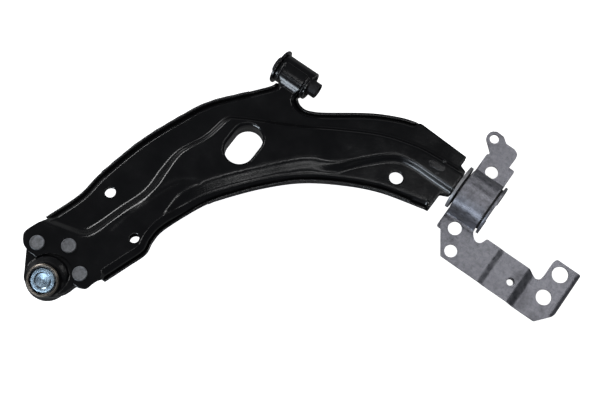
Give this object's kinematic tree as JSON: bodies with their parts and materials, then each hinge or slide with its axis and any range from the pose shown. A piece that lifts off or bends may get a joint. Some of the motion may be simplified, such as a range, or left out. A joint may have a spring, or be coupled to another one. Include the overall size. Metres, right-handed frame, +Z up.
{
  "type": "control_arm",
  "caption": "Pressed steel front suspension control arm with riveted ball joint, welded front bush eye, and rear bush in a stepped bolt-on bracket",
  "frame": {"origin": "bottom centre of the whole part as it lies road side up", "axes": "+X along the hinge axis from the front bush to the rear bush, +Y across the arm away from the ball joint, +Z up through the road side"},
  "size_m": [0.4583, 0.4023, 0.084],
  "materials": {
    "coated_steel": "gloss black electrocoat",
    "coated_weld": "black electrocoat over a weld bead",
    "housing_steel": "black electrocoat, bare rolled rim",
    "rivet_steel": "flat formed rivet heads",
    "zinc_plate": "blue passivated zinc",
    "seat_polymer": "acetal",
    "stud_steel": "ground steel",
    "rubber": "matt black",
    "ring_steel": "spring steel",
    "sleeve_steel": "dark phosphate",
    "disc_steel": "bare pressed steel",
    "phosphated_steel": "grey zinc phosphate"
  },
  "bodies": {
    "arm": {"main_shell": "coated_steel", "closing_shell": "coated_steel", "lower_seam_weld": "coated_weld", "upper_seam_weld": "coated_weld", "front_eye": "coated_steel", "front_eye_weld_1": "coated_weld", "front_eye_weld_2": "coated_weld", "rear_pin": "coated_steel", "rear_pin_weld": "coated_weld", "ball_rivet_1": "rivet_steel", "ball_rivet_2": "rivet_steel", "ball_rivet_3": "rivet_steel", "ball_housing": "housing_steel", "ball_cover": "zinc_plate", "ball_seat": "seat_polymer", "boot_base_ring": "ring_steel", "front_bush_shell": "coated_steel", "front_bush_rubber": "rubber", "rear_bush_disc": "disc_steel", "rear_bush_sleeve": "sleeve_steel"},
    "front_sleeve": {"front_bush_sleeve": "sleeve_steel"},
    "rear_bracket": {"rear_bush_rubber": "rubber", "rear_bush_end_ring": "phosphated_steel", "bracket_strap": "phosphated_steel", "bracket_base": "phosphated_steel", "bracket_nut": "phosphated_steel"},
    "boot": {"dust_boot": "rubber"},
    "boot_neck": {"boot_neck_ring": "ring_steel"},
    "stud": {"ball_stud": "stud_steel"}
  },
  "joints": [
    {"name": "front_bush_twist", "type": "hinge", "parent": "arm", "child": "front_sleeve", "pos_m": [-0.1161, 0.1285, 0.0245], "axis": [1, 0, 0], "range_deg": [-20, 20], "stiffness_Nm_per_rad": 60},
    {"name": "rear_bush_twist", "type": "hinge", "parent": "arm", "child": "rear_bracket", "pos_m": [0.1019, 0.1285, 0.0245], "axis": [1, 0, 0], "range_deg": [-20, 20], "stiffness_Nm_per_rad": 60},
    {"name": "ball_swing_across", "type": "hinge", "parent": "arm", "child": "boot", "pos_m": [-0.1843, -0.17996, 0.06412], "axis": [0.9937, 0.027, -0.1089], "range_deg": [-15, 15], "deforming": ["dust_boot"]},
    {"name": "ball_swing_along", "type": "hinge", "parent": "boot", "child": "boot_neck", "pos_m": [-0.1843, -0.17996, 0.06412], "axis": [0, 0.9707, 0.2402], "range_deg": [-15, 15]},
    {"name": "ball_spin", "type": "hinge", "parent": "boot_neck", "child": "stud", "pos_m": [-0.1843, -0.17996, 0.06412], "axis": [0.1122, -0.2387, 0.9646], "continuous": true}
  ]
}
